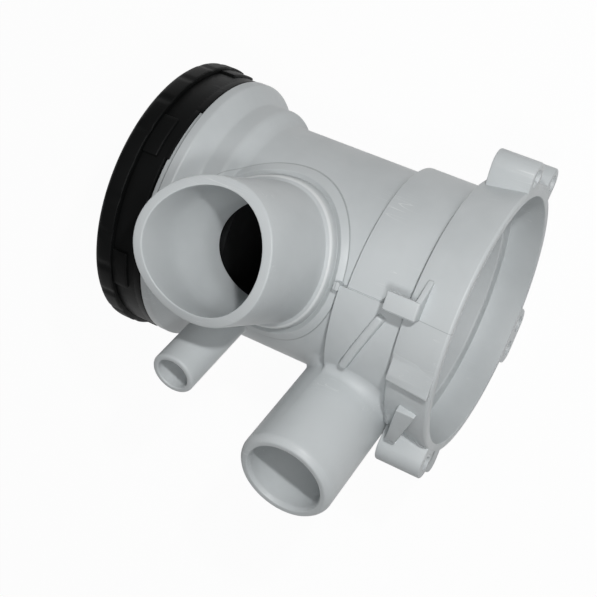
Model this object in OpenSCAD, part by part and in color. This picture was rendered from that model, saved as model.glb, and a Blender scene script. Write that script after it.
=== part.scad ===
// Pump filter housing of a washing machine, with its screw cap and its filter insert.
// Main axis along Y: the cap faces -Y, the pump side faces +Y, the inlet nozzle points up.
// The origin is the centre of the pump side's open end.

/* [Filter chamber] */
// Outer diameter of the filter chamber
tube_d = 65; // [60:0.5:70]
// Wall of the filter chamber
tube_wall = 3; // [2.4:0.1:3.4]
// Length of the plain part of the chamber
tube_len = 43.2; // [42.8:0.2:50]

/* [Cap end of the housing] */
// Height of the front flange above the thick ring
flange_rise = 4.8; // [4:0.1:6]
// Depth of the flange with its cone
flange_len = 9.1; // [9:0.1:10]
// Width of the flange's straight rim
flange_rim = 2.8; // [2.4:0.1:3.4]
// Width of the step under the cap's skirts
flange_step = 1.9; // [1.6:0.1:2.2]
// Height of the thick ring above the chamber
ring_rise = 3.5; // [2.9:0.1:4.5]
// Length of the thick ring
collar_ring_len = 9.6; // [9.5:0.1:11]
// Wall of the threaded part of the mouth
mouth_wall = 3.2; // [3:0.1:3.4]
// Step from the threaded part down to the seal seat
seat_step = 2.2; // [2:0.1:2.4]
// Length of the seal seat
seat_len = 4.5; // [4:0.1:5]

/* [Thread] */
// Lead of the cap thread, its travel in one turn
thread_lead = 5.6; // [5.4:0.1:6]
// Turns of each thread ridge
thread_turns = 1.3; // [1:0.1:1.3]
// Width of a ridge at its root
thread_width = 2.4; // [2:0.1:2.5]
// Height of a ridge
thread_height = 1.9; // [1.7:0.1:2]
// Axial gap between the flanks of the two ridges
thread_gap = 0.4; // [0.3:0.05:0.6]

/* [Inlet nozzle] */
// Outer diameter of the inlet nozzle
inlet_d = 40; // [37:0.5:42]
// Wall of the inlet nozzle at its rim
inlet_wall = 2.8; // [2.4:0.1:3.5]
// Step from the bore at the rim down to the bore at the root
inlet_taper = 2.2; // [1.6:0.1:3]
// Height of the nozzle's rim above the chamber
inlet_rise = 26.5; // [20:0.5:32]
// Distance of the nozzle's axis behind the thick ring
inlet_back = 20.4; // [20:0.1:22]
// Lean of the nozzle towards the cap, in degrees
inlet_lean = 8.6; // [6:0.2:10]
// Radius of the arch that the rim is cut to
inlet_arch_r = 42; // [36:1:60]
// Step from the nozzle to the edge of its root collar
inlet_step = 3; // [2:0.1:3.2]
// Height of the root collar above the chamber
inlet_collar_rise = 0.5; // [0.3:0.1:1]
// Width of the bead between nozzle and collar
inlet_bead = 0.9; // [0.6:0.1:1.2]

/* [Outlet nozzle] */
// Outer diameter of the outlet nozzle
outlet_d = 28.6; // [27:0.1:30]
// Wall of the outlet nozzle
outlet_wall = 3.2; // [2.8:0.1:5]
// Length of the outlet, from the foot of its axis
outlet_len = 66; // [60:0.5:72]
// Distance of the outlet's axis behind the start of the pump neck
outlet_back = 4; // [3.4:0.1:4.2]
// Direction of the outlet and the vent, in degrees above +X
outlet_angle = 58.4; // [54:0.2:62]
// Step from the outlet's bore down to its throat
throat_step = 0.6; // [0.5:0.1:2]

/* [Vent spout] */
// Outer diameter of the vent spout
vent_d = 13.3; // [12:0.1:14]
// Wall of the vent spout
vent_wall = 1.85; // [1.6:0.05:3]
// Length of the vent, from the foot of its axis
vent_len = 58.4; // [52:0.2:62]
// Distance of the vent's axis behind the thick ring
vent_back = 6.3; // [6:0.1:7]
// Offset of the vent's axis from the main axis
vent_offset = 10.5; // [9:0.1:12]

/* [Pump end of the housing] */
// Height of the pump neck above the filter chamber
neck_rise = 2.4; // [2.1:0.1:3]
// Height of the neck's shroud above the neck, on the outlet side
shroud_rise = 0.7; // [0.65:0.05:1.1]
// Side wall of the pump chamber
chamber_wall = 2.9; // [2.4:0.1:3.4]
// Length of the pump neck
neck_len = 18.5; // [18.2:0.1:19.4]
// Reach of the shroud ahead of the neck
shroud_reach = 2; // [1.4:0.1:2.4]
// Thickness of the wall between filter chamber and pump chamber
neck_wall = 3; // [2:0.1:3.4]
// Step from the neck up to the pump bell
bell_step = 3.6; // [3.1:0.1:3.9]
// Flare of the pump bell from its root to its open end
bell_flare = 2.2; // [1.8:0.1:2.5]
// Length of the pump bell
bell_len = 13.9; // [13.6:0.1:14.3]
// Wall round the pump seat at the bell's open end
bell_wall = 2.8; // [2.6:0.1:3.6]
// Depth of the pump seat
pump_seat_depth = 10.4; // [9:0.1:10.6]

/* [Screw ears] */
// Distance of the screw holes outside the bell's open end
ear_stand = 3.1; // [3:0.1:3.9]
// Diameter of the lower and right screw bosses
ear_boss_d = 10; // [9:0.1:10.6]
// Diameter of the left screw bosses
left_boss_d = 9.2; // [8.6:0.1:9.6]
// Diameter of the screw holes
ear_hole_d = 5; // [3.6:0.1:5]
// Length of the screw bosses
ear_len = 14; // [13.6:0.1:14.4]
// Length of the left pair of screw bosses
left_ear_len = 12.4; // [12.2:0.1:13.4]
// Depth of the screw holes
ear_hole_len = 10; // [8:0.1:11]

/* [Hook, lip and ribs] */
// Width of the cable hook
hook_width = 5.2; // [4:0.1:6]
// Length of the cable hook's arm
hook_len = 9.4; // [8.4:0.1:10]
// Height of the hook's top above the bell
hook_rise = 2.9; // [2.3:0.1:4.3]
// Thickness of the hook's arm
hook_thick = 2; // [1.6:0.1:2.2]
// Length of the hook's foot along the main axis
hook_foot = 2.6; // [2:0.1:3]
// Tangential length of the overhanging lip
lip_len = 8.4; // [7:0.1:10]
// Thickness of the lip
lip_thick = 2.6; // [2:0.1:3]
// Width of the ribs
rib_width = 3; // [2.4:0.1:3.6]
// Height of the ribs
rib_height = 1.8; // [1.2:0.1:2.4]

/* [Cap] */
// Height of the grip band above the cap's collar
band_rise = 1.6; // [1.3:0.1:2.4]
// Width of the grip band
band_len = 4.4; // [4:0.1:6]
// Step from the flange in to the cap's collar
collar_inset = 0.2; // [0.1:0.05:0.5]
// Length of the cap's collar
collar_len = 7.4; // [7:0.1:9]
// Angle that each skirt of the collar spans, in degrees
skirt_span = 96; // [80:2:110]
// Wall between the collar and the sunk face
band_wall = 2.4; // [2:0.1:3]
// Thickness of the cap's disc
cap_disc = 3.5; // [3.2:0.1:4]
// Number of grip flutes round the band
flute_count = 48; // [24:4:60]
// Depth of a grip flute
flute_depth = 0.5; // [0.3:0.05:0.8]
// Width of the grip bar across the cap
grip_width = 11; // [9:0.5:14]
// Radial gap between the spigot and the seal seat
spigot_gap = 0.6; // [0.5:0.05:0.9]
// Wall of the spigot
spigot_wall = 3.4; // [3:0.1:3.6]
// Thickness of the sealing ring
seal_d = 3; // [2.6:0.1:3.2]

/* [Filter insert] */
// Radial gap between the insert and the chamber
insert_gap = 0.9; // [0.7:0.05:1.5]
// Wall of the insert
insert_wall = 2.2; // [1.8:0.1:2.6]
// Distance from the insert's end to the pump neck
insert_end_gap = 1.9; // [1.4:0.1:4]
// Angle that the trough spans, in degrees
trough_span = 190; // [170:5:200]
// Width of the end ring
end_ring = 4; // [3:0.1:5]
// Number of bars in the comb
comb_count = 8; // [6:1:9]
// Thickness of a comb bar
comb_bar = 2; // [1.6:0.1:2.4]
// Number of slots in the trough
slot_count = 6; // [4:1:7]
// Width of a slot in the trough
slot_width = 2.6; // [2:0.1:3]
// Diameter of the swivel pin
pin_d = 8; // [7:0.1:9]

/* [Fits] */
// Step from each nozzle's root down to the part that holds a hose
hose_step = 0.25; // [0.2:0.05:0.4]
// Gap between parts that move past each other
gap = 0.3; // [0.25:0.05:0.4]
// Radial clearance of the swivel pin in its hub
pin_clearance = 0.05; // [0.03:0.01:0.1]
// Radial clearance of the sealing ring in its seat
seal_clearance = 0.1; // [0.05:0.01:0.15]

/* [Hidden] */
$fn = 96;

// Colours of the two plastics and of the rubber
white_plastic = [0.78, 0.80, 0.81];
black_plastic = [0.05, 0.05, 0.055];
black_rubber = [0.03, 0.03, 0.03];

// Diameters of the coaxial parts, each from the one it stands on
collar_ring_d = tube_d + 2 * ring_rise;
flange_d = collar_ring_d + 2 * flange_rise;
mouth_d = collar_ring_d - 2 * mouth_wall;
seat_d = mouth_d - 2 * seat_step;
spigot_d = seat_d - 2 * spigot_gap;
collar_d = flange_d - 2 * collar_inset;
cap_d = collar_d + 2 * band_rise;
insert_d = tube_d - 2 * tube_wall - 2 * insert_gap;
neck_d = tube_d + 2 * neck_rise;
shroud_d = neck_d + 2 * shroud_rise;
chamber_d = neck_d - 2 * chamber_wall;
bell_root_d = neck_d + 2 * bell_step;
bell_mouth_d = bell_root_d + 2 * bell_flare;
pump_seat_d = bell_mouth_d - 2 * bell_wall;
inlet_bore = inlet_d - 2 * inlet_wall;
inlet_root_bore = inlet_bore - 2 * inlet_taper;
outlet_bore = outlet_d - 2 * outlet_wall;
throat_bore = outlet_bore - 2 * throat_step;
vent_bore = vent_d - 2 * vent_wall;

// Stations along the main axis, from the pump side back to the cap
y_bell = -bell_len;
y_neck = y_bell - neck_len;
y_tube = y_neck - tube_len;
y_ring = y_tube - collar_ring_len;
y_flange = y_ring - flange_len;
y_seat = y_tube - seat_len;
y_collar = y_flange - gap - collar_len;
y_band = y_collar - 2;
y_front = y_band - band_len;
y_disc_back = y_flange - gap;
y_disc = y_disc_back - cap_disc;
y_spigot = y_tube - 1;
y_inlet = y_tube + inlet_back;
y_vent = y_tube + vent_back;
y_outlet = y_neck + outlet_back;
y_thread = y_flange + 1.2 + thread_width / 2;
trough_len = y_neck - insert_end_gap - end_ring - 3 - gap - y_spigot;

// Radii and offsets that follow from the sizes above
tube_r = tube_d / 2;
tube_in = tube_r - tube_wall;
neck_r = neck_d / 2;
shroud_r = shroud_d / 2;
chamber_r = chamber_d / 2;
outlet_r = outlet_d / 2;
outlet_offset = shroud_r - outlet_r;
inlet_r = inlet_d / 2;
mouth_r = mouth_d / 2;
spigot_r = spigot_d / 2;
spigot_in = spigot_r - spigot_wall;
register_r = collar_d / 2 - 4.4;
recess_r = register_r - band_wall;
insert_r = insert_d / 2;
insert_in = insert_r - insert_wall;
inlet_height = tube_r + inlet_rise;
ear_radius = bell_mouth_d / 2 + ear_stand;
hook_height = bell_mouth_d / 2 + hook_rise;
bell_in = bell_mouth_d / 2 - 6.7;
thread_crest = 0.45;
cut = 0.5;
deep = 200;

// Angles round the main axis, in degrees from +X towards +Z
left_ear_angles = [169.5, 198.5];
lower_ear_angles = [277.4, 288.6];
right_ear_angle = 18;
right_lobe_angle = 8;
shroud_from = -72;
shroud_to = 91;
ear_rib_from = 30;
ear_rib_to = 52;
lip_angle = 74;
hook_x = -0.8;
skirt_angles = [28, 208];
guide_w = 2.4;
guide_h = 2;
guide_rise = (trough_span - 180) / 2 + asin((guide_w / 2 + 2 * gap) / (tube_in - guide_h));
guide_angles = [guide_rise, 180 - guide_rise];

// A profile of [radius, y] points, turned round the main axis
module lathe(points) {
  rotate([-90, 0, 0])
    rotate_extrude()
      polygon(points);
}

// A ring between two radii, from one station to another
module ring(r_in, r_out, y_from, y_to) {
  lathe([[r_in, y_from], [r_out, y_from], [r_out, y_to], [r_in, y_to]]);
}

// A part of a ring, between two angles from +X towards +Z
module arc_ring(r_in, r_out, y_from, y_to, angle_from, angle_to) {
  rotate([0, -angle_to, 0])
    rotate([-90, 0, 0])
      rotate_extrude(angle = angle_to - angle_from)
        polygon([[r_in, y_from], [r_out, y_from], [r_out, y_to], [r_in, y_to]]);
}

// Children placed at an angle round the main axis, +X being outwards
module at_angle(angle) {
  rotate([0, -angle, 0])
    children();
}

// A solid rod along the main axis, its centre at a radius and an angle
module rod(angle, radius, r, y_from, y_to) {
  at_angle(angle)
    translate([radius, y_from, 0])
      rotate([-90, 0, 0])
        cylinder(r = r, h = y_to - y_from);
}

// Children placed with +Z along a side nozzle that leans by an angle above +X
module on_nozzle(y, offset) {
  translate([0, y, 0])
    at_angle(outlet_angle)
      translate([0, 0, -offset])
        rotate([0, 90, 0])
          children();
}

// Children placed with +Z along the inlet nozzle
module on_inlet() {
  translate([0, y_inlet, 0])
    rotate([inlet_lean, 0, 0])
      children();
}

// Profile of the thick ring and its rounded step down to the chamber
function ring_outline() = [
  [collar_ring_d / 2, y_ring], [collar_ring_d / 2, y_tube - 4.4], [collar_ring_d / 2 - 0.4, y_tube - 3.5],
  [collar_ring_d / 2 - (collar_ring_d / 2 - tube_r) * 0.45, y_tube - 2], [tube_r + 0.35, y_tube - 0.7],
  [tube_r, y_tube]
];

// Outer envelope of the housing's coaxial parts, which the side parts are cut to
module housing_envelope() {
  lathe(concat(
    [[0, y_ring]], ring_outline(),
    [
      [tube_r, y_neck], [neck_r, y_neck], [neck_r, y_bell],
      [bell_root_d / 2, y_bell], [bell_mouth_d / 2, 0], [bell_mouth_d / 2, cut], [0, cut]
    ]
  ));
  arc_ring(1, shroud_r, y_neck - shroud_reach, y_bell, shroud_from, shroud_to);
}

// One helical ridge: sections every 6 degrees, from the root radius to the crest radius
module ridge(root_r, crest_r, y_start) {
  step = 6;
  count = floor(thread_turns * 360 / step);
  half = [thread_width / 2, thread_width * thread_crest / 2];
  section = [[root_r, -half[0]], [crest_r, -half[1]], [crest_r, half[1]], [root_r, half[0]]];
  points = [
    for (i = [0 : count])
      for (s = section)
        [s[0] * cos(i * step), s[0] * sin(i * step), s[1] + thread_lead * i * step / 360]
  ];
  sides = [
    for (i = [0 : count - 1])
      for (k = [0 : 3])
        [4 * i + k, 4 * i + (k + 1) % 4, 4 * i + 4 + (k + 1) % 4, 4 * i + 4 + k]
  ];
  triangles = [for (q = sides) each [[q[0], q[2], q[1]], [q[0], q[3], q[2]]]];
  first = [[0, 1, 2], [0, 2, 3]];
  last = [[4 * count, 4 * count + 2, 4 * count + 1], [4 * count, 4 * count + 3, 4 * count + 2]];
  translate([0, y_start, 0])
    rotate([-90, 0, 0])
      polyhedron(points = points, faces = concat(triangles, first, last));
}

// Front flange: step under the cap's skirts, straight rim, then a cone to the thick ring
module front_flange() {
  flange_r = flange_d / 2;
  step_r = flange_r - 1.2;
  fall = flange_r - collar_ring_d / 2;
  y_rim = y_flange + flange_step;
  y_cone = y_rim + flange_rim;
  run = y_ring - y_cone;
  color(white_plastic)
    lathe([
      [mouth_r, y_flange + 0.8], [mouth_r + 0.8, y_flange], [step_r, y_flange], [step_r, y_rim],
      [flange_r - 0.2, y_rim], [flange_r, y_rim + 0.2], [flange_r, y_cone - 0.3],
      [flange_r - fall * 0.15, y_cone + run * 0.10], [flange_r - fall * 0.32, y_cone + run * 0.38],
      [flange_r - fall * 0.56, y_cone + run * 0.62], [flange_r - fall * 0.84, y_cone + run * 0.84],
      [flange_r - fall, y_ring], [mouth_r, y_ring]
    ]);
}

// Thick ring behind the flange, with the end of the threaded mouth and the seal seat
module mouth_ring() {
  color(white_plastic)
    lathe(concat(
      [[mouth_r, y_ring]], ring_outline(),
      [[tube_in, y_tube], [seat_d / 2, y_tube - 0.8], [seat_d / 2, y_seat], [mouth_r, y_seat - 0.9]]
    ));
}

// Thread ridge inside the mouth
module housing_thread() {
  color(white_plastic)
    ridge(mouth_r, mouth_r - thread_height, y_thread);
}

// Plain filter chamber, open to the inlet and the vent
module filter_tube() {
  color(white_plastic)
    difference() {
      ring(tube_in, tube_r, y_tube, y_neck);
      inlet_passage();
      on_nozzle(y_vent, vent_offset)
        cylinder(d = vent_bore, h = vent_len);
    }
}

// Two ribs in the chamber that keep the insert from turning
module guide_ribs() {
  color(white_plastic)
    for (angle = guide_angles)
      intersection() {
        at_angle(angle)
          translate([tube_in - guide_h, y_tube + 4, -guide_w / 2])
            cube([guide_h + 2, trough_len - 4, guide_w]);
        ring(tube_in - guide_h - 1, tube_in, y_tube, y_neck);
      }
}

// Bore of the inlet nozzle: narrow at the root, widening to the rim
module inlet_passage() {
  taper_from = tube_r + 4;
  on_inlet() {
    cylinder(d = inlet_root_bore, h = taper_from);
    translate([0, 0, taper_from - 0.01])
      cylinder(d1 = inlet_root_bore, d2 = inlet_bore, h = 12.01);
    translate([0, 0, taper_from + 11.99])
      cylinder(d = inlet_bore, h = inlet_height);
  }
}

// Inlet nozzle: leaning tube whose rim is cut to an arch
module inlet_nozzle() {
  arch_top = inlet_height + inlet_r * inlet_r / (4 * inlet_arch_r);
  color(white_plastic)
    difference() {
      intersection() {
        on_inlet() {
          cylinder(d = inlet_d, h = inlet_height + 20);
          cylinder(r = inlet_r + hose_step, h = tube_r + 10.5);
        }
        translate([0, y_inlet - 60, arch_top - inlet_arch_r])
          rotate([-90, 0, 0])
            cylinder(r = inlet_arch_r, h = 120, $fn = 180);
      }
      inlet_passage();
      housing_envelope();
    }
}

// Bead and flat collar round the root of the inlet nozzle
module inlet_collar() {
  color(white_plastic)
    difference() {
      union() {
        intersection() {
          on_inlet()
            cylinder(r = inlet_r + inlet_step, h = deep);
          ring(tube_r, tube_r + inlet_collar_rise, y_tube, y_neck);
        }
        intersection() {
          on_inlet()
            cylinder(r = inlet_r + inlet_bead, h = deep);
          ring(tube_r, tube_r + inlet_collar_rise + 1.1, y_tube, y_neck);
        }
      }
      on_inlet()
        cylinder(r = inlet_r + hose_step, h = deep);
      translate([-deep / 2, y_flange, -deep])
        cube(deep);
      housing_envelope();
    }
}

// Vent spout, with a rounded mouth
module vent_spout() {
  vent_r = vent_d / 2;
  color(white_plastic)
    difference() {
      on_nozzle(y_vent, vent_offset)
        rotate_extrude()
          polygon([
            [0, 10], [vent_r + hose_step, 10], [vent_r + hose_step, tube_r + 5.5], [vent_r, tube_r + 5.5],
            [vent_r, vent_len - 1.2], [vent_r - 0.4, vent_len - 0.4],
            [vent_r - 1, vent_len], [0, vent_len]
          ]);
      on_nozzle(y_vent, vent_offset)
        cylinder(d = vent_bore, h = vent_len + 1);
      housing_envelope();
      on_inlet()
        cylinder(r = inlet_r + inlet_step, h = tube_r + inlet_collar_rise);
    }
}

// Throat that leads from the pump chamber along a tangent into the outlet
module throat() {
  intersection() {
    on_nozzle(y_outlet, outlet_offset)
      cylinder(d = throat_bore, h = shroud_r + 8);
    translate([0, y_neck + neck_wall + 0.6, 0])
      rotate([-90, 0, 0])
        cylinder(r = deep, h = neck_len);
  }
}

// Pump neck: end wall of the filter chamber and side wall of the pump chamber
module pump_neck() {
  color(white_plastic)
    difference() {
      lathe([
        [tube_in, y_neck], [neck_r, y_neck], [neck_r, y_bell],
        [chamber_r, y_bell], [chamber_r, y_neck + neck_wall], [tube_in, y_neck + neck_wall]
      ]);
      throat();
    }
}

// Raised shroud round the outlet side of the neck
module neck_shroud() {
  color(white_plastic)
    difference() {
      at_angle(shroud_to)
        rotate([-90, 0, 0])
          rotate_extrude(angle = shroud_to - shroud_from)
            polygon([
              [tube_r, y_neck - shroud_reach], [shroud_r, y_neck - shroud_reach], [shroud_r, y_bell],
              [neck_r, y_bell], [neck_r, y_neck], [tube_r, y_neck]
            ]);
      throat();
    }
}

// Small catch on the edge of the shroud, at the parting line
module neck_catch() {
  color(white_plastic)
    at_angle(shroud_to - 1)
      translate([tube_r, y_neck - shroud_reach - 1.2, 0])
        rotate([0, 90, 0])
          difference() {
            cylinder(r = 1.2, h = shroud_r - tube_r + 0.4, $fn = 32);
            translate([-5, 1.2, -1])
              cube([10, 5, 10]);
          }
}

// Outlet nozzle: leaves the volute along a tangent, with a rounded mouth
module outlet_nozzle() {
  bore_floor = shroud_r + 6;
  color(white_plastic)
    difference() {
      on_nozzle(y_outlet, outlet_offset)
        rotate_extrude()
          polygon([
            [0, 7], [outlet_r + hose_step, 7], [outlet_r + hose_step, shroud_r + 7.4], [outlet_r, shroud_r + 7.4],
            [outlet_r, outlet_len - 2.2], [outlet_r - 0.5, outlet_len - 0.9],
            [outlet_r - 1.4, outlet_len - 0.15], [outlet_r - 2, outlet_len], [0, outlet_len]
          ]);
      on_nozzle(y_outlet, outlet_offset)
        translate([0, 0, bore_floor])
          cylinder(d = outlet_bore, h = outlet_len);
      throat();
      housing_envelope();
    }
}

// Rib that runs from the hook down to the outlet's root
module outlet_rib() {
  angles = [83, 74, 65, 56];
  steps = [11.6, 9.4, 7.2, 5];
  color(white_plastic)
    difference() {
      for (i = [0 : 2])
        hull() {
          for (k = [i, i + 1])
            at_angle(angles[k])
              translate([shroud_r - 2, y_neck + steps[k], 0])
                rotate([0, 90, 0])
                  cylinder(d = rib_width, h = 2 + rib_height, $fn = 24);
        }
      housing_envelope();
      on_nozzle(y_outlet, outlet_offset)
        cylinder(r = outlet_r + hose_step, h = outlet_len);
    }
}

// Pump bell: flared band, step down to the pump chamber, open seat for the pump
module pump_bell() {
  root_r = bell_root_d / 2;
  end_r = bell_mouth_d / 2;
  seat_r = pump_seat_d / 2;
  color(white_plastic)
    lathe([
      [chamber_r, y_bell], [root_r - 0.4, y_bell], [root_r, y_bell + 0.4], [end_r, -0.6],
      [end_r - 0.4, 0], [seat_r, 0], [seat_r, -pump_seat_depth],
      [chamber_r + 0.6, -pump_seat_depth], [chamber_r, -pump_seat_depth - 0.6]
    ]);
}

// Envelope of the bell, which ears, ribs and lip are cut to
module bell_envelope() {
  lathe([
    [0, y_bell - 10], [bell_root_d / 2, y_bell - 10], [bell_root_d / 2, y_bell],
    [bell_mouth_d / 2, -0.6], [bell_mouth_d / 2, cut], [0, cut]
  ]);
}

// Screw bosses at the left: two separate bosses on a shared foot
module ear_left() {
  boss_r = left_boss_d / 2;
  foot_w = left_boss_d - 0.8;
  middle = (left_ear_angles[0] + left_ear_angles[1]) / 2;
  spread = 2 * ear_radius * sin((left_ear_angles[1] - left_ear_angles[0]) / 2);
  color(white_plastic)
    difference() {
      union() {
        for (angle = left_ear_angles) {
          rod(angle, ear_radius, boss_r, -left_ear_len, 0);
          at_angle(angle)
            translate([bell_in, -left_ear_len, -foot_w / 2])
              cube([ear_radius - bell_in, left_ear_len, foot_w]);
        }
        at_angle(middle)
          translate([bell_in, 1 - left_ear_len, -spread / 2])
            cube([bell_mouth_d / 2 + 0.8 - bell_in, left_ear_len - 1, spread]);
      }
      for (angle = left_ear_angles)
        rod(angle, ear_radius, ear_hole_d / 2, -ear_hole_len, cut);
      bell_envelope();
    }
}

// Screw bosses below: two bosses joined by a flat web
module ear_lower() {
  boss_r = ear_boss_d / 2;
  middle = (lower_ear_angles[0] + lower_ear_angles[1]) / 2;
  half = (lower_ear_angles[1] - lower_ear_angles[0]) / 2;
  reach = ear_radius * cos(half) + boss_r - 0.3;
  spread = ear_radius * sin(half) * 2;
  foot_w = spread + 2 * boss_r - 0.8;
  color(white_plastic)
    difference() {
      union() {
        for (angle = lower_ear_angles)
          rod(angle, ear_radius, boss_r, -ear_len, 0);
        at_angle(middle) {
          translate([bell_in, -ear_len, -spread / 2])
            cube([reach - bell_in, ear_len, spread]);
          translate([bell_in, -ear_len, -foot_w / 2])
            cube([ear_radius * cos(half) - bell_in, ear_len, foot_w]);
        }
      }
      for (angle = lower_ear_angles)
        rod(angle, ear_radius, ear_hole_d / 2, -ear_hole_len, cut);
      bell_envelope();
    }
}

// Screw boss at the right, with a solid lobe beside it
module ear_right() {
  boss_r = ear_boss_d / 2;
  lobe_r = boss_r - 1.2;
  foot_w = ear_boss_d - 0.8;
  lobe_w = 2 * lobe_r - 0.8;
  middle = (right_ear_angle + right_lobe_angle) / 2;
  color(white_plastic)
    difference() {
      union() {
        rod(right_ear_angle, ear_radius, boss_r, -ear_len, 0);
        at_angle(right_ear_angle)
          translate([bell_in, -ear_len, -foot_w / 2])
            cube([ear_radius - bell_in, ear_len, foot_w]);
        rod(right_lobe_angle, ear_radius - 0.6, lobe_r, -ear_len / 2, 0);
        at_angle(right_lobe_angle)
          translate([bell_in, -ear_len / 2, -lobe_w / 2])
            cube([ear_radius - 0.6 - bell_in, ear_len / 2, lobe_w]);
        at_angle(middle)
          translate([bell_in, 1 - ear_len / 2, -lobe_r])
            cube([bell_mouth_d / 2 + 1.2 - bell_in, ear_len / 2 - 1, 2 * lobe_r]);
      }
      rod(right_ear_angle, ear_radius, ear_hole_d / 2, -ear_hole_len, cut);
      bell_envelope();
      on_nozzle(y_outlet, outlet_offset)
        cylinder(r = outlet_r + hose_step, h = outlet_len);
    }
}

// Tapered gusset between the bell's lip, the outlet and the right screw boss
module ear_rib() {
  color(white_plastic)
    difference() {
      hull() {
        at_angle(ear_rib_to)
          translate([bell_in, -8.8, -1])
            cube([7.6, 5.6, 1]);
        at_angle(ear_rib_from)
          translate([bell_in + 2, -12, -1])
            cube([7.4, 3.2, 2]);
      }
      bell_envelope();
      rod(right_ear_angle, ear_radius, ear_boss_d / 2, -deep, cut);
      at_angle(right_ear_angle)
        translate([bell_in, -ear_len, -ear_boss_d / 2])
          cube([ear_radius - bell_in, ear_len, ear_boss_d]);
      on_nozzle(y_outlet, outlet_offset)
        cylinder(r = outlet_r + hose_step, h = outlet_len);
    }
}

// Cable hook on the bell: a foot, an arm that reaches over the neck, and a side web
module cable_hook() {
  foot_y = y_bell + 1.9;
  web_h = hook_height - hook_thick - bell_in;
  color(white_plastic)
    difference() {
      union() {
        translate([hook_x - hook_width, foot_y + hook_foot - hook_len, hook_height - hook_thick])
          cube([hook_width, hook_len, hook_thick]);
        translate([hook_x - hook_width, foot_y, bell_in])
          cube([hook_width, hook_foot, hook_height - bell_in]);
        translate([hook_x - hook_width, foot_y + hook_foot, bell_in])
          rotate([90, 0, 0])
            linear_extrude(1.6)
              polygon([[0, 0], [0, web_h + hook_thick], [-5.6, web_h - 3.4], [-5.6, 0]]);
      }
      bell_envelope();
    }
}

// Flat pad on the bell whose edge overhangs towards the outlet
module bell_lip() {
  pad_r = bell_mouth_d / 2 + 0.2;
  color(white_plastic)
    difference() {
      at_angle(lip_angle)
        translate([pad_r - lip_thick, y_bell + 0.6, -lip_len])
          cube([lip_thick, bell_len - 2.6, lip_len]);
      bell_envelope();
    }
}

// Cap shell: fluted grip band with a rounded front edge, and the sunk face
module cap_shell() {
  band_r = cap_d / 2;
  groove_r = collar_d / 2 - 1.4;
  color(black_plastic)
    difference() {
      lathe([
        [0, y_disc], [recess_r, y_disc], [recess_r, y_front + 0.8], [recess_r + 0.8, y_front],
        [band_r - 2.4, y_front], [band_r - 1.2, y_front + 0.4], [band_r - 0.4, y_front + 1.2],
        [band_r, y_front + 2.2], [band_r, y_band], [groove_r, y_band], [groove_r, y_collar],
        [register_r, y_collar], [register_r, y_disc_back], [0, y_disc_back]
      ]);
      for (i = [0 : flute_count - 1])
        rod(360 * i / flute_count, band_r + 1.2 - flute_depth, 1.2, y_front + 1.4, y_band + cut);
    }
}

// Cap collar: raised lobes, a rim that bears on the flange, and two skirts over its step
module cap_collar() {
  ring_r = collar_d / 2;
  lobe_r = cap_d / 2 - 0.4;
  skirt_in = flange_d / 2 - 1.2 + gap;
  y_end = y_flange - gap;
  lobes = 6;
  color(black_plastic)
    union() {
      ring(register_r + 0.1, ring_r, y_collar, y_end);
      for (i = [0 : lobes - 1])
        arc_ring(ring_r - 1, lobe_r, y_collar, y_collar + 5, 60 * i + 171, 60 * i + 189);
      for (angle = skirt_angles)
        arc_ring(skirt_in, ring_r, y_end - 1, y_flange + flange_step - gap,
                 angle - skirt_span / 2, angle + skirt_span / 2);
    }
}

// Grip bar across the sunk face of the cap
module cap_grip_bar() {
  depth = y_disc - y_front;
  half = grip_width / 2;
  color(black_plastic)
    intersection() {
      translate([-recess_r, y_disc, 0])
        rotate([90, 0, 90])
          linear_extrude(2 * recess_r)
            polygon([
              [0, -half], [0, half], [0.8 - depth, half - 1.4], [-depth, half - 2.4],
              [-depth, 2.4 - half], [0.8 - depth, 1.4 - half]
            ]);
      ring(0, recess_r, y_front, y_disc);
    }
}

// Cap spigot: tube that enters the mouth, with the groove of the sealing ring
module cap_spigot() {
  groove_r = seat_d / 2 - seal_clearance - seal_d;
  y_groove = y_spigot - 0.9 - seal_d;
  color(black_plastic)
    lathe([
      [spigot_in, y_disc_back], [spigot_r, y_disc_back], [spigot_r, y_groove - 0.1], [groove_r, y_groove - 0.1],
      [groove_r, y_groove + seal_d + 0.1], [spigot_r, y_groove + seal_d + 0.1], [spigot_r, y_spigot - 0.4],
      [spigot_r - 0.4, y_spigot], [spigot_in, y_spigot]
    ]);
}

// Thread ridge outside the spigot, one flank gap behind the ridge in the mouth
module cap_thread() {
  crest_r = min(spigot_r + thread_height, mouth_r - gap);
  mesh = crest_r - (mouth_r - thread_height);
  share = thread_width * (1 - thread_crest) * mesh / thread_height;
  offset_y = (share + 2 * thread_width * thread_crest) / 2 + thread_gap;
  color(black_plastic)
    ridge(spigot_r / cos(3), crest_r, y_thread + offset_y);
}

// Hub in the middle of the cap that holds the swivel pin's head
module cap_hub() {
  pin_r = pin_d / 2;
  bore_r = pin_r + pin_clearance;
  y_hub = y_spigot - 2;
  y_head = y_disc_back + 4;
  color(black_plastic)
    lathe([
      [0, y_disc_back], [bore_r + 3.6, y_disc_back], [bore_r + 3.6, y_hub], [bore_r, y_hub],
      [bore_r, y_head + 3], [pin_r + 1.1, y_head + 3], [pin_r + 1.1, y_head - 0.6], [0, y_head - 0.6]
    ]);
}

// Sealing ring in the spigot's groove
module cap_seal() {
  color(black_rubber)
    translate([0, y_spigot - 0.9 - seal_d / 2, 0])
      rotate([-90, 0, 0])
        rotate_extrude()
          translate([seat_d / 2 - seal_clearance - seal_d / 2, 0])
            circle(d = seal_d, $fn = 32);
}

// Front disc of the insert
module insert_disc() {
  y_face = y_spigot + gap;
  color(black_plastic)
    ring(0, insert_r, y_face, y_face + 3);
}

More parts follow.
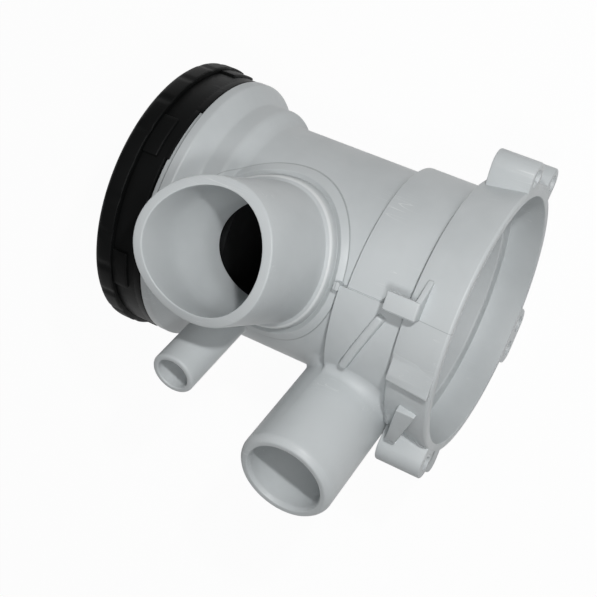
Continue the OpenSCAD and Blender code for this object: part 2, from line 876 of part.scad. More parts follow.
// Swivel pin of the insert, with its snap head
module swivel_pin() {
  pin_r = pin_d / 2;
  y_face = y_spigot + gap;
  y_head = y_disc_back + 4;
  color(black_plastic)
    lathe([
      [0, y_head], [pin_r - 0.6, y_head], [pin_r + 0.7, y_head + 1.4], [pin_r + 0.7, y_head + 2.6],
      [pin_r, y_head + 2.6], [pin_r, y_face], [0, y_face]
    ]);
}

// Trough of the insert, open towards the inlet, with long slots
module insert_trough() {
  y_from = y_spigot + gap + 3;
  from = 270 - trough_span / 2;
  color(black_plastic)
    difference() {
      arc_ring(insert_in, insert_r, y_from, y_from + trough_len, from, from + trough_span);
      for (i = [1 : slot_count])
        at_angle(from + trough_span * i / (slot_count + 1))
          translate([insert_in - 1, y_from + 6, -slot_width / 2])
            cube([insert_wall + 2, trough_len - 10, slot_width]);
    }
}

// Closed ring at the pump end of the insert, notched to pass over the guide ribs
module insert_end_ring() {
  y_from = y_spigot + gap + 3 + trough_len;
  color(black_plastic)
    difference() {
      ring(insert_in - 1.4, insert_r, y_from, y_from + end_ring);
      for (angle = guide_angles)
        at_angle(angle)
          translate([tube_in - guide_h - gap, y_from - cut, -guide_w / 2 - 2 * gap])
            cube([6, end_ring + 2 * cut, guide_w + 4 * gap]);
    }
}

// Upright bars across the end ring, which hold back coins and buttons
module insert_comb() {
  y_from = y_spigot + gap + 3 + trough_len;
  comb_r = insert_in - 1.4;
  pitch = 2 * comb_r / (comb_count + 1);
  color(black_plastic)
    intersection() {
      for (i = [1 : comb_count])
        translate([i * pitch - comb_r - comb_bar / 2, y_from + 0.5, -insert_r])
          cube([comb_bar, end_ring - 1, 2 * insert_r]);
      ring(0, comb_r, y_from, y_from + end_ring);
    }
}

front_flange();
mouth_ring();
housing_thread();
filter_tube();
guide_ribs();
inlet_nozzle();
inlet_collar();
vent_spout();
pump_neck();
neck_shroud();
neck_catch();
outlet_nozzle();
outlet_rib();
pump_bell();
ear_left();
ear_lower();
ear_right();
ear_rib();
cable_hook();
bell_lip();
cap_shell();
cap_collar();
cap_grip_bar();
cap_spigot();
cap_thread();
cap_hub();
cap_seal();
insert_disc();
swivel_pin();
insert_trough();
insert_end_ring();
insert_comb();
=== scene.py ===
"""Pump filter housing of a washing machine: the moulded shapes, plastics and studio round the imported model."""
import math

import bmesh
import bpy
from mathutils import Matrix, Vector


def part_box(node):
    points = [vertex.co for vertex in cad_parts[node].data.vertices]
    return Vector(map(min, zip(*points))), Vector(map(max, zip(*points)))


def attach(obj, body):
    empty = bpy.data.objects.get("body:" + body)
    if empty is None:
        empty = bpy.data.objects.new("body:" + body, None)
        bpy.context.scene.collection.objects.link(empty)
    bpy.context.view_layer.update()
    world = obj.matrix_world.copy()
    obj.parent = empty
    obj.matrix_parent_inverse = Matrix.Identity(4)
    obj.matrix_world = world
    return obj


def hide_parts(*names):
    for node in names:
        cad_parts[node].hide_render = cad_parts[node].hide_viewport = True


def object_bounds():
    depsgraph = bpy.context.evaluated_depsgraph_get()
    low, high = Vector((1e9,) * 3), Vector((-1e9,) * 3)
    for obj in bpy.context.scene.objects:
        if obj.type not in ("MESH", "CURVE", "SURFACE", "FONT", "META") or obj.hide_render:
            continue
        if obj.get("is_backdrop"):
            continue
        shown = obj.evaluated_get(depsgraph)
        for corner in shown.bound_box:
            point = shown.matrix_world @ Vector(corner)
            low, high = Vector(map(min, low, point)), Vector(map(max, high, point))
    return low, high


bl_info = {
    "name": "Pump filter housing",
    "version": (1, 0, 0),
    "blender": (4, 5, 0),
    "location": "3D View > Sidebar > Pump filter",
    "description": "Builds the moulded housing, screw cap and insert of a washing machine's pump filter",
    "category": "Object",
}

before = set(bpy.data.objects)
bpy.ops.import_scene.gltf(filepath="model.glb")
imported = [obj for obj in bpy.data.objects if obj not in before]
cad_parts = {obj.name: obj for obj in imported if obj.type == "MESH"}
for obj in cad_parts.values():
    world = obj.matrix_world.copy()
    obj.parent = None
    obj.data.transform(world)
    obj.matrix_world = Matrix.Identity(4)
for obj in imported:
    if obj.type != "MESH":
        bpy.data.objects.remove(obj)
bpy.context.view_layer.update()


def edge_mm(node, corner, axis):
    """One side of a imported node's box, in millimetres. Corner 0 is the lowest and 1 the highest."""
    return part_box(node)[corner][axis] * 1000


# Stations along the main axis, in millimetres, from the cap to the open pump end
Y_FRONT = edge_mm("cap_shell", 0, 1)
Y_FLANGE = edge_mm("front_flange", 0, 1)
Y_RING = edge_mm("front_flange", 1, 1)
Y_TUBE = edge_mm("mouth_ring", 1, 1)
Y_NECK = edge_mm("filter_tube", 1, 1)
Y_SHROUD = edge_mm("neck_shroud", 0, 1)
Y_BELL = edge_mm("pump_bell", 0, 1)
Y_COLLAR = Y_FLANGE - 7.7
Y_DISC = Y_FLANGE - 3.8
Y_INLET = Y_TUBE + 20.4
Y_VENT = Y_TUBE + 6.3
Y_OUTLET = Y_NECK + 4.0

# Radii of the coaxial parts, in millimetres
R_TUBE = edge_mm("filter_tube", 1, 0)
R_TUBE_IN = R_TUBE - 3.0
R_NECK = 34.9
R_SHROUD = 35.6
R_CHAMBER = 32.0
R_MOUTH = 32.8
R_FLANGE = edge_mm("front_flange", 1, 0)
R_BELL_ROOT = 38.5
R_BELL_MOUTH = edge_mm("pump_bell", 1, 0)
R_SEAT = 37.9
R_BAND = edge_mm("cap_shell", 1, 0)
R_COLLAR = 40.6

# Nozzles: outer radii, distances of their axes from the main axis, and directions
R_INLET = 20.0
R_OUTLET = 14.3
R_VENT = 6.65
OUTLET_OFFSET = 21.3
VENT_OFFSET = 10.5
NOZZLE_ANGLE = math.radians(58.4)
INLET_LEAN = math.radians(8.6)

# Screw bosses: radius of the circle they stand on, and their angles from +X towards +Z, in degrees
R_EARS = 43.8
LEFT_EARS = (169.5, 198.5)
LOWER_EARS = (277.4, 288.6)
RIGHT_EAR = 18.0

# Camera fitted to the photograph
EYE = Vector((-0.06774, 0.06913, 0.34092))
CAMERA_RIGHT = Vector((-0.3123, 0.8630, -0.3970))
CAMERA_UP = Vector((-0.9231, -0.3745, -0.0878))

# A matrix that sends X to Y, Y to Z and Z to X
CYCLE_AXES = Matrix(((0, 0, 1, 0), (1, 0, 0, 0), (0, 1, 0, 0), (0, 0, 0, 1)))


# Sizes and colours that can be changed from the sidebar
class PumpFilterShape(bpy.types.PropertyGroup):
    turn_steps: bpy.props.IntProperty(
        name="Steps round", description="Number of steps in which the housing is turned",
        default=192, min=48, max=360)
    root_fillet: bpy.props.FloatProperty(
        name="Outlet root fillet", description="Rounding between the outlet and the pump bell",
        default=0.0075, min=0.001, max=0.009, unit="LENGTH")
    rim_rounding: bpy.props.FloatProperty(
        name="Rim rounding", description="Rounding of the inlet nozzle's rim",
        default=0.0004, min=0.0002, max=0.0013, unit="LENGTH")
    edge_rounding: bpy.props.FloatProperty(
        name="Edge rounding", description="Rounding of hook, lip, ribs and screw bosses",
        default=0.00045, min=0.0001, max=0.0008, unit="LENGTH")
    flute_count: bpy.props.IntProperty(
        name="Grip flutes", description="Number of flutes round the cap's grip band",
        default=24, min=18, max=60)
    flute_depth: bpy.props.FloatProperty(
        name="Flute depth", description="Depth of a flute in the cap's grip band",
        default=0.00035, min=0.0001, max=0.0008, unit="LENGTH")


class PumpFilterFinish(bpy.types.PropertyGroup):
    housing_colour: bpy.props.FloatVectorProperty(
        name="Housing", description="Colour of the pale moulded plastic",
        default=(0.60, 0.63, 0.64), size=3, subtype="COLOR", min=0, max=1)
    housing_shade: bpy.props.FloatVectorProperty(
        name="Housing, hollows", description="Colour of the pale plastic where it is dull or dusty",
        default=(0.52, 0.55, 0.56), size=3, subtype="COLOR", min=0, max=1)
    cap_colour: bpy.props.FloatVectorProperty(
        name="Cap", description="Colour of the black plastic",
        default=(0.0042, 0.0046, 0.0046), size=3, subtype="COLOR", min=0, max=1)
    insert_colour: bpy.props.FloatVectorProperty(
        name="Insert", description="Colour of the filter insert",
        default=(0.010, 0.0105, 0.0108), size=3, subtype="COLOR", min=0, max=1)
    seal_colour: bpy.props.FloatVectorProperty(
        name="Seal", description="Colour of the rubber ring",
        default=(0.014, 0.014, 0.014), size=3, subtype="COLOR", min=0, max=1)
    grain: bpy.props.FloatProperty(
        name="Grain", description="Strength of the fine grain of the plastics",
        default=0.30, min=0, max=1)


class PumpFilterStage(bpy.types.PropertyGroup):
    key_power: bpy.props.FloatProperty(
        name="Key light", description="Power of the small lamp at the camera's upper right, in watts",
        default=0.55, min=0, max=20)
    front_power: bpy.props.FloatProperty(
        name="Front light", description="Power of the lamp just under the camera, in watts",
        default=0.32, min=0, max=20)
    fill_power: bpy.props.FloatProperty(
        name="Fill light", description="Power of the wide overhead lamp, in watts",
        default=0.08, min=0, max=20)
    room: bpy.props.FloatProperty(
        name="Room light", description="Strength of the even light from all round",
        default=0.17, min=0, max=2)
    floor_colour: bpy.props.FloatVectorProperty(
        name="Floor", description="Colour of the floor",
        default=(0.93, 0.93, 0.93), size=3, subtype="COLOR", min=0, max=1)


# Helpers for outlines, turned shapes and plates
def smoothstep(low, high, value):
    """0 below low, 1 above high, and a smooth rise between."""
    t = min(max((value - low) / (high - low), 0.0), 1.0)
    return t * t * (3 - 2 * t)


def outline(corners, segments=5):
    """A closed wire in the XY plane. Each corner is (x, y) or (x, y, rounding), in millimetres."""
    bm = bmesh.new()
    verts = [bm.verts.new((c[0], c[1], 0)) for c in corners]
    for a, b in zip(verts, verts[1:] + verts[:1]):
        bm.edges.new((a, b))
    groups = {}
    for vert, corner in zip(verts, corners):
        if len(corner) > 2 and corner[2] > 0:
            groups.setdefault(corner[2], []).append(vert)
    for rounding, group in groups.items():
        bmesh.ops.bevel(bm, geom=group, offset=rounding, offset_type="OFFSET", segments=segments,
                        profile=0.5, affect="VERTICES", material=-1)
    return bm


def split_long(bm, length):
    """Divides every edge that is longer than a length."""
    for edge in bm.edges[:]:
        cuts = int(edge.calc_length() / length)
        if cuts:
            bmesh.ops.subdivide_edges(bm, edges=[edge], cuts=cuts)


def clean(bm):
    """Welds seams and poles, and turns the faces outwards."""
    bmesh.ops.remove_doubles(bm, verts=bm.verts, dist=0.0004)
    bmesh.ops.dissolve_degenerate(bm, edges=bm.edges, dist=0.0002)
    bmesh.ops.recalc_face_normals(bm, faces=bm.faces)


def turned(corners, steps, axis="Y", long=None, segments=5):
    """A closed outline of (radius, height) points turned round the Y or the Z axis."""
    bm = outline(corners, segments)
    if long:
        split_long(bm, long)
    if axis == "Z":
        bm.transform(Matrix.Rotation(math.radians(90), 4, "X"))
    direction = (0, 1, 0) if axis == "Y" else (0, 0, 1)
    bmesh.ops.spin(bm, geom=bm.verts[:] + bm.edges[:], cent=(0, 0, 0), axis=direction, dvec=(0, 0, 0),
                   angle=math.radians(360), steps=steps, use_merge=True, use_duplicate=False)
    clean(bm)
    return bm


def sector(corners, angle_from, angle_to, step=2.0, segments=4):
    """An outline of (radius, y) points turned round the Y axis between two angles from +X towards +Z."""
    bm = outline(corners, segments)
    bm.transform(Matrix.Rotation(math.radians(-angle_to), 4, "Y"))
    steps = max(2, round((angle_to - angle_from) / step))
    bmesh.ops.spin(bm, geom=bm.verts[:] + bm.edges[:], cent=(0, 0, 0), axis=(0, 1, 0), dvec=(0, 0, 0),
                   angle=math.radians(angle_to - angle_from), steps=steps, use_merge=False, use_duplicate=False)
    ends = [e for e in bm.edges if len(e.link_faces) == 1]
    bmesh.ops.holes_fill(bm, edges=ends, sides=0)
    clean(bm)
    return bm


def deepened(bm, depth):
    """Fills a closed wire and gives it a depth along Z."""
    bmesh.ops.contextual_create(bm, geom=bm.edges[:])
    grown = bmesh.ops.extrude_face_region(bm, geom=bm.faces[:])
    top = [g for g in grown["geom"] if isinstance(g, bmesh.types.BMVert)]
    bmesh.ops.translate(bm, verts=top, vec=(0, 0, depth))


def plate(corners, depth, place, segments=5):
    """An outline filled, given a depth along its own Z, and put in place by a matrix."""
    bm = outline(corners, segments)
    deepened(bm, depth)
    bm.transform(place)
    clean(bm)
    return bm


def soften(bm, width, segments=3, least=35, most=179):
    """Bevels the edges at which the surface turns by more than an angle."""
    edges = []
    for edge in bm.edges:
        if len(edge.link_faces) == 2 and least < math.degrees(edge.calc_face_angle(0)) < most:
            edges.append(edge)
    bmesh.ops.bevel(bm, geom=edges, offset=width, offset_type="OFFSET", segments=segments, profile=0.5,
                    affect="EDGES", clamp_overlap=True, material=-1)
    return bm


def joined(*parts):
    """Several bmesh shapes put together in one."""
    whole = bmesh.new()
    for part in parts:
        mesh = bpy.data.meshes.new("part")
        part.to_mesh(mesh)
        part.free()
        whole.from_mesh(mesh)
        bpy.data.meshes.remove(mesh)
    return whole


def temporary(bm):
    """An object that only serves as one side of a cut."""
    mesh = bpy.data.meshes.new("cutter")
    bm.to_mesh(mesh)
    bm.free()
    cutter = bpy.data.objects.new("cutter", mesh)
    bpy.context.scene.collection.objects.link(cutter)
    return cutter


def cut(bm, *cutters):
    """The shape without the cutters' volumes."""
    body = temporary(bm)
    tools = [temporary(c) for c in cutters]
    for tool in tools:
        step = body.modifiers.new("cut", "BOOLEAN")
        step.operation = "DIFFERENCE"
        step.solver = "EXACT"
        step.object = tool
    bpy.context.view_layer.update()
    seen = body.evaluated_get(bpy.context.evaluated_depsgraph_get())
    result = bmesh.new()
    result.from_mesh(seen.to_mesh())
    seen.to_mesh_clear()
    for thing in [body] + tools:
        mesh = thing.data
        bpy.data.objects.remove(thing)
        bpy.data.meshes.remove(mesh)
    return result


def round_angle(angle):
    """A matrix that turns +X to an angle from +X towards +Z round the main axis."""
    return Matrix.Rotation(math.radians(-angle), 4, "Y")


def along_y(angle):
    """Places a plate's outline across the main axis, its X outwards at an angle and its depth along +Y."""
    return round_angle(angle) @ Matrix.Rotation(math.radians(-90), 4, "X")


def nozzle_place(y, offset):
    """Places +Z along a side nozzle, its X towards the main axis' tangent side."""
    turn = Matrix.Rotation(-NOZZLE_ANGLE, 4, "Y") @ Matrix.Translation((0, 0, -offset))
    return Matrix.Translation((0, y, 0)) @ turn @ Matrix.Rotation(math.radians(90), 4, "Y")


def settings(context):
    """The three groups of values from the sidebar."""
    scene = context.scene
    return scene.pump_filter_shape, scene.pump_filter_finish, scene.pump_filter_stage


def piece(name, bm, body, material, replaced=(), sharp=32):
    """Makes the finished object of a piece from a shape in millimetres, and hangs it on its body."""
    bm.transform(Matrix.Scale(0.001, 4))
    mesh = bpy.data.meshes.new(name)
    bm.to_mesh(mesh)
    bm.free()
    mesh.polygons.foreach_set("use_smooth", [True] * len(mesh.polygons))
    mesh.set_sharp_from_angle(angle=math.radians(sharp))
    mesh.materials.append(material)
    obj = bpy.data.objects.new(name, mesh)
    bpy.context.scene.collection.objects.link(obj)
    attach(obj, body)
    if replaced:
        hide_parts(*replaced)
    return obj


# Shader groups that several plastics share
def group_socket(group, name, direction, kind="NodeSocketFloat", value=None):
    """Adds a named socket to a shader group."""
    socket = group.interface.new_socket(name=name, in_out=direction, socket_type=kind)
    if value is not None:
        socket.default_value = value
    return socket


def math_node(tree, operation, a, b=None):
    """A Math node whose inputs are sockets or numbers."""
    node = tree.nodes.new("ShaderNodeMath")
    node.operation = operation
    for index, value in enumerate((a, b)):
        if value is None:
            continue
        if hasattr(value, "is_linked"):
            tree.links.new(value, node.inputs[index])
        else:
            node.inputs[index].default_value = value
    return node.outputs[0]


def vector_node(tree, operation, a, b=None):
    """A Vector Math node of a socket and, where it is given, a constant vector."""
    node = tree.nodes.new("ShaderNodeVectorMath")
    node.operation = operation
    tree.links.new(a, node.inputs[0])
    if b is not None:
        node.inputs[1].default_value = b
    return node.outputs["Value" if operation == "LENGTH" else "Vector"]


def distance_from(tree, value, place):
    """How far a value lies from a number."""
    return math_node(tree, "ABSOLUTE", math_node(tree, "SUBTRACT", value, place))


def coordinates(tree, position):
    """The three coordinates of a position."""
    node = tree.nodes.new("ShaderNodeSeparateXYZ")
    tree.links.new(position, node.inputs[0])
    return node.outputs


def noise(tree, vector, scale, detail=2.0, rough=0.5):
    """A noise texture's value."""
    node = tree.nodes.new("ShaderNodeTexNoise")
    node.inputs["Scale"].default_value = scale
    node.inputs["Detail"].default_value = detail
    node.inputs["Roughness"].default_value = rough
    tree.links.new(vector, node.inputs["Vector"])
    return node.outputs["Fac"]


def spread(tree, value, low, high, to_low=0.0, to_high=1.0):
    """A clamped Map Range."""
    node = tree.nodes.new("ShaderNodeMapRange")
    node.inputs["From Min"].default_value = low
    node.inputs["From Max"].default_value = high
    node.inputs["To Min"].default_value = to_low
    node.inputs["To Max"].default_value = to_high
    tree.links.new(value, node.inputs["Value"])
    return node.outputs["Result"]


def moulded_grain_group():
    """Fine grain and slow waviness of a moulded surface, as a height."""
    group = bpy.data.node_groups.get("moulded_grain")
    if group:
        return group
    group = bpy.data.node_groups.new("moulded_grain", "ShaderNodeTree")
    group_socket(group, "Position", "INPUT", "NodeSocketVector")
    group_socket(group, "Grain", "INPUT", value=1.0)
    group_socket(group, "Waviness", "INPUT", value=0.3)
    group_socket(group, "Height", "OUTPUT")
    source = group.nodes.new("NodeGroupInput")
    sink = group.nodes.new("NodeGroupOutput")
    position = source.outputs["Position"]
    fine = math_node(group, "MULTIPLY", noise(group, position, 3200, 2), source.outputs["Grain"])
    slow = math_node(group, "MULTIPLY", noise(group, position, 120, 1), source.outputs["Waviness"])
    group.links.new(math_node(group, "ADD", fine, slow), sink.inputs["Height"])
    return group


def use_marks_group():
    """Dust in patches, tiny specks and thin handling scratches, as three masks."""
    group = bpy.data.node_groups.get("use_marks")
    if group:
        return group
    group = bpy.data.node_groups.new("use_marks", "ShaderNodeTree")
    group_socket(group, "Position", "INPUT", "NodeSocketVector")
    group_socket(group, "Patches", "OUTPUT")
    group_socket(group, "Specks", "OUTPUT")
    group_socket(group, "Scratches", "OUTPUT")
    source = group.nodes.new("NodeGroupInput")
    sink = group.nodes.new("NodeGroupOutput")
    position = source.outputs["Position"]
    patches = spread(group, noise(group, position, 34, 4, 0.6), 0.42, 0.68)
    cells = group.nodes.new("ShaderNodeTexVoronoi")
    cells.inputs["Scale"].default_value = 95
    group.links.new(position, cells.inputs["Vector"])
    near = spread(group, cells.outputs["Distance"], 0.016, 0.028, 1.0, 0.0)
    gate = math_node(group, "GREATER_THAN", noise(group, position, 21, 0), 0.56)
    streak = group.nodes.new("ShaderNodeMapping")
    streak.inputs["Rotation"].default_value = (0.5, 0.9, 0.4)
    streak.inputs["Scale"].default_value = (1.0, 0.05, 1.0)
    group.links.new(position, streak.inputs["Vector"])
    thin = noise(group, streak.outputs["Vector"], 700, 0)
    line = spread(group, distance_from(group, thin, 0.5), 0.004, 0.011, 1.0, 0.0)
    rare = spread(group, noise(group, position, 60, 1), 0.60, 0.68)
    group.links.new(patches, sink.inputs["Patches"])
    group.links.new(math_node(group, "MULTIPLY", near, gate), sink.inputs["Specks"])
    group.links.new(math_node(group, "MULTIPLY", line, rare), sink.inputs["Scratches"])
    return group


def place_group(tree, group, position):
    """A group node fed with the object's own coordinates."""
    node = tree.nodes.new("ShaderNodeGroup")
    node.node_tree = group
    tree.links.new(position, node.inputs["Position"])
    return node


def mix_colour(tree, factor, a, b):
    """A Mix node between two colours, each a socket or a plain colour."""
    node = tree.nodes.new("ShaderNodeMix")
    node.data_type = "RGBA"
    tree.links.new(factor, node.inputs["Factor"])
    for name, value in (("A", a), ("B", b)):
        socket = [s for s in node.inputs if s.name == name and s.type == "RGBA"][0]
        if hasattr(value, "is_linked"):
            tree.links.new(value, socket)
        else:
            socket.default_value = (*value[:3], 1.0)
    return [s for s in node.outputs if s.type == "RGBA"][0]


def tinted(tree, colour, mask, share, tint):
    """A colour with a share of a tint where a mask is white."""
    return mix_colour(tree, math_node(tree, "MULTIPLY", mask, share), colour, tint)


def bare_material(name):
    """An empty material with its shader, its output and the object's coordinates."""
    material = bpy.data.materials.new(name)
    material.use_nodes = True
    tree = material.node_tree
    shader = tree.nodes["Principled BSDF"]
    position = tree.nodes.new("ShaderNodeTexCoord").outputs["Object"]
    return material, tree, shader, position


def connect_bump(tree, shader, height, strength, distance):
    """Feeds a height to the shader's normal."""
    bump = tree.nodes.new("ShaderNodeBump")
    bump.inputs["Strength"].default_value = strength
    bump.inputs["Distance"].default_value = distance
    tree.links.new(height, bump.inputs["Height"])
    tree.links.new(bump.outputs["Normal"], shader.inputs["Normal"])


def collar_outline(tree, position):
    """Masks round the inlet: painted shade in the crease and the groove of its collar, and a painted highlight
    along the bead.
    """
    away = vector_node(tree, "SUBTRACT", position, (0, Y_INLET / 1000, 0))
    across = vector_node(tree, "CROSS_PRODUCT", away, (0, -math.sin(INLET_LEAN), math.cos(INLET_LEAN)))
    radius = vector_node(tree, "LENGTH", across)
    height = coordinates(tree, position)["Z"]
    collar_edge, groove_middle, bead_middle = 0.02512, 0.0224, 0.02125
    line = spread(tree, distance_from(tree, radius, collar_edge), 0.00006, 0.0002, 1.0, 0.0)
    groove = spread(tree, distance_from(tree, radius, groove_middle), 0.0005, 0.0009, 0.7, 0.0)
    bead = spread(tree, distance_from(tree, radius, bead_middle), 0.0002, 0.00045, 1.0, 0.0)
    above = math_node(tree, "GREATER_THAN", height, 0.005)
    root = math_node(tree, "LESS_THAN", height, 0.0385)
    # Painted shade: the collar's edge line and its groove are darkened as if shadowed
    painted_groove_shade = math_node(tree, "MULTIPLY", math_node(tree, "MAXIMUM", line, groove), above)
    # Returns the painted groove shade, then a painted highlight along the bead
    return painted_groove_shade, math_node(tree, "MULTIPLY", bead, math_node(tree, "MULTIPLY", root, above))


def painted_rim_shadow(tree, position):
    """A painted shadow: a fine dark line on the flange's front edge, beside the cap."""
    from_edge = distance_from(tree, coordinates(tree, position)["Y"], (Y_FLANGE + 2.0) / 1000)
    radius = vector_node(tree, "LENGTH", vector_node(tree, "MULTIPLY", position, (1, 0, 1)))
    outside = math_node(tree, "GREATER_THAN", radius, (R_FLANGE - 0.5) / 1000)
    return math_node(tree, "MULTIPLY", spread(tree, from_edge, 0.0001, 0.00022, 1.0, 0.0), outside)


def parting_line(tree, position):
    """A hairline along the top of the pump end, where the mould's halves met."""
    place = coordinates(tree, position)
    lean = math.radians(91.4)
    across = math_node(tree, "SUBTRACT", math_node(tree, "MULTIPLY", place["X"], math.sin(lean)),
                       math_node(tree, "MULTIPLY", place["Z"], math.cos(lean)))
    line = spread(tree, math_node(tree, "ABSOLUTE", across), 0.00005, 0.00013, 1.0, 0.0)
    above = math_node(tree, "GREATER_THAN", place["Z"], 0.0335)
    behind = math_node(tree, "GREATER_THAN", place["Y"], -0.034)
    return math_node(tree, "MULTIPLY", line, math_node(tree, "MULTIPLY", above, behind))


def white_plastic(finish):
    """Pale polypropylene: cool grey white, satin, with fine grain, dust, specks and a parting line, plus painted
    shade round the inlet's collar, a painted highlight on its bead and a painted shadow line at the flange's
    edge.
    """
    material, tree, shader, position = bare_material("pale moulded plastic")
    marks = place_group(tree, use_marks_group(), position)
    grain = place_group(tree, moulded_grain_group(), position)
    seam = parting_line(tree, position)
    painted_groove_shade, painted_bead_highlight = collar_outline(tree, position)
    colour = finish.housing_colour
    for mask, share, tint in (
            (marks.outputs["Patches"], 0.6, finish.housing_shade),
            (marks.outputs["Scratches"], 0.45, (0.80, 0.82, 0.82)),
            (marks.outputs["Specks"], 0.75, (0.10, 0.11, 0.11)),
            (seam, 0.55, (0.24, 0.27, 0.28)),
            # Painted shade in the inlet collar's crease and groove
            (painted_groove_shade, 0.36, (0.17, 0.19, 0.19)),
            # Painted highlight along the inlet's bead
            (painted_bead_highlight, 0.55, (0.86, 0.88, 0.88)),
            # Painted shadow: a dark line at the flange's rim edge
            (painted_rim_shadow(tree, position), 0.65, (0.12, 0.13, 0.13))):
        colour = tinted(tree, colour, mask, share, tint)
    tree.links.new(colour, shader.inputs["Base Color"])
    tree.links.new(spread(tree, marks.outputs["Patches"], 0.0, 1.0, 0.40, 0.50), shader.inputs["Roughness"])
    shader.inputs["Specular IOR Level"].default_value = 0.42
    height = math_node(tree, "SUBTRACT", grain.outputs["Height"], seam)
    connect_bump(tree, shader, height, finish.grain, 0.00006)
    return material


def black_plastic(finish, name, colour, rough):
    """Black moulded plastic: nearly black, with grain, faint dust and fine light scratches."""
    material, tree, shader, position = bare_material(name)
    marks = place_group(tree, use_marks_group(), position)
    grain = place_group(tree, moulded_grain_group(), position)
    colour = tinted(tree, colour, marks.outputs["Patches"], 0.4, (0.007, 0.0073, 0.0076))
    colour = tinted(tree, colour, marks.outputs["Specks"], 0.5, (0.11, 0.11, 0.115))
    colour = tinted(tree, colour, marks.outputs["Scratches"], 0.35, (0.05, 0.052, 0.055))
    roughness = spread(tree, marks.outputs["Patches"], 0.0, 1.0, rough, rough + 0.12)
    tree.links.new(colour, shader.inputs["Base Color"])
    tree.links.new(roughness, shader.inputs["Roughness"])
    shader.inputs["Specular IOR Level"].default_value = 0.14
    connect_bump(tree, shader, grain.outputs["Height"], finish.grain * 0.65, 0.00006)
    return material


def seal_rubber(finish):
    """Rubber of the sealing ring: matt, with a talc bloom in patches."""
    material, tree, shader, position = bare_material("seal rubber")
    marks = place_group(tree, use_marks_group(), position)
    grain = place_group(tree, moulded_grain_group(), position)
    colour = tinted(tree, finish.seal_colour, marks.outputs["Patches"], 0.5, (0.05, 0.05, 0.05))
    tree.links.new(colour, shader.inputs["Base Color"])
    shader.inputs["Roughness"].default_value = 0.62
    connect_bump(tree, shader, grain.outputs["Height"], finish.grain * 0.5, 0.00005)
    return material


def plastic(context, kind):
    """One of the four materials, made when it is first asked for."""
    finish = settings(context)[1]
    names = {"housing": "pale moulded plastic", "cap": "black cap plastic",
             "insert": "black insert plastic", "seal": "seal rubber"}
    found = bpy.data.materials.get(names[kind])
    if found:
        return found
    if kind == "housing":
        return white_plastic(finish)
    if kind == "cap":
        return black_plastic(finish, names[kind], finish.cap_colour, 0.50)
    if kind == "insert":
        return black_plastic(finish, names[kind], finish.insert_colour, 0.42)
    return seal_rubber(finish)


def housing_piece(context, name, bm, *replaced):
    """A finished piece of the housing, in pale plastic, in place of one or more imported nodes."""
    return piece(name, bm, "housing", plastic(context, "housing"), replaced)


# Cutters of the openings in the housing
def inlet_cutter():
    """Hole in the chamber's wall under the inlet nozzle."""
    bm = turned([(0, 20), (16.6, 20), (16.6, 60), (0, 60)], 96, "Z")
    bm.transform(Matrix.Translation((0, Y_INLET, 0)) @ Matrix.Rotation(INLET_LEAN, 4, "X"))
    return bm


def vent_cutter():
    """Hole in the chamber's wall under the vent."""
    bm = turned([(0, 20), (5.6, 20), (5.6, 50), (0, 50)], 48, "Z")
    bm.transform(nozzle_place(Y_VENT, VENT_OFFSET))
    return bm


def throat_cutter():
    """Half round channel from the pump chamber into the outlet."""
    radius = 10.5
    angles = [math.radians(a) for a in range(0, 181, 6)]
    bm = outline([(radius * math.cos(a), radius * math.sin(a)) for a in angles])
    deepened(bm, 43.4)
    clean(bm)
    bm.transform(Matrix.Translation((0, -0.4, 0)) @ nozzle_place(Y_OUTLET, OUTLET_OFFSET))
    return bm


def body_radius(y):
    """Outer radius of the housing under the outlet's root, with softened steps."""
    low = R_TUBE + (R_SHROUD - R_TUBE) * smoothstep(Y_SHROUD - 0.5, Y_SHROUD + 0.5, y)
    return low + (R_BELL_ROOT + 0.3 - R_SHROUD) * smoothstep(Y_BELL - 0.9, Y_BELL + 0.9, y)


class PUMPFILTER_OT_housing_shell(bpy.types.Operator):
    """Turned body of the housing: flange, thick ring, filter chamber, pump neck and bell, with its openings"""
    bl_idname = "pumpfilter.housing_shell"
    bl_label = "Housing shell"

    def execute(self, context):
        shape = settings(context)[0]
        rim = Y_FLANGE + 1.9
        cone = rim + 2.8
        shell = turned([
            (R_MOUTH, Y_FLANGE, 0.6), (R_FLANGE - 1.2, Y_FLANGE, 0.25), (R_FLANGE - 1.2, rim, 0.2),
            (R_FLANGE, rim, 0.25), (R_FLANGE, cone + 0.2, 0.5), (37.4, Y_RING - 1.2, 0.9),
            (36.0, Y_RING + 0.4, 0.5), (36.0, Y_TUBE - 3.4, 1.1),
            (33.2, Y_TUBE - 1.2, 0.8), (R_TUBE, Y_TUBE + 0.6, 0.5),
            (R_TUBE, Y_NECK, 0.35), (R_NECK, Y_NECK, 0.35), (R_NECK, Y_BELL, 0.4), (R_BELL_ROOT, Y_BELL, 0.45),
            (R_BELL_MOUTH, -0.6, 0.3), (R_BELL_MOUTH - 0.5, 0, 0.3), (R_SEAT, 0, 0.35), (R_SEAT, -10.4, 0.5),
            (R_CHAMBER, -10.4, 0.6), (R_CHAMBER, Y_NECK + 3.0, 1.6), (R_TUBE_IN, Y_NECK + 3.0, 0.5),
            (R_TUBE_IN, Y_TUBE, 0.4), (30.6, Y_TUBE - 0.8, 0.3), (30.6, Y_TUBE - 4.5, 0.3),
            (R_MOUTH, Y_TUBE - 5.4, 0.4),
        ], shape.turn_steps, long=6)
        shell = cut(shell, inlet_cutter(), vent_cutter(), throat_cutter())
        housing_piece(context, "housing_shell", shell,
                      "front_flange", "mouth_ring", "filter_tube", "pump_neck", "pump_bell")
        return {"FINISHED"}


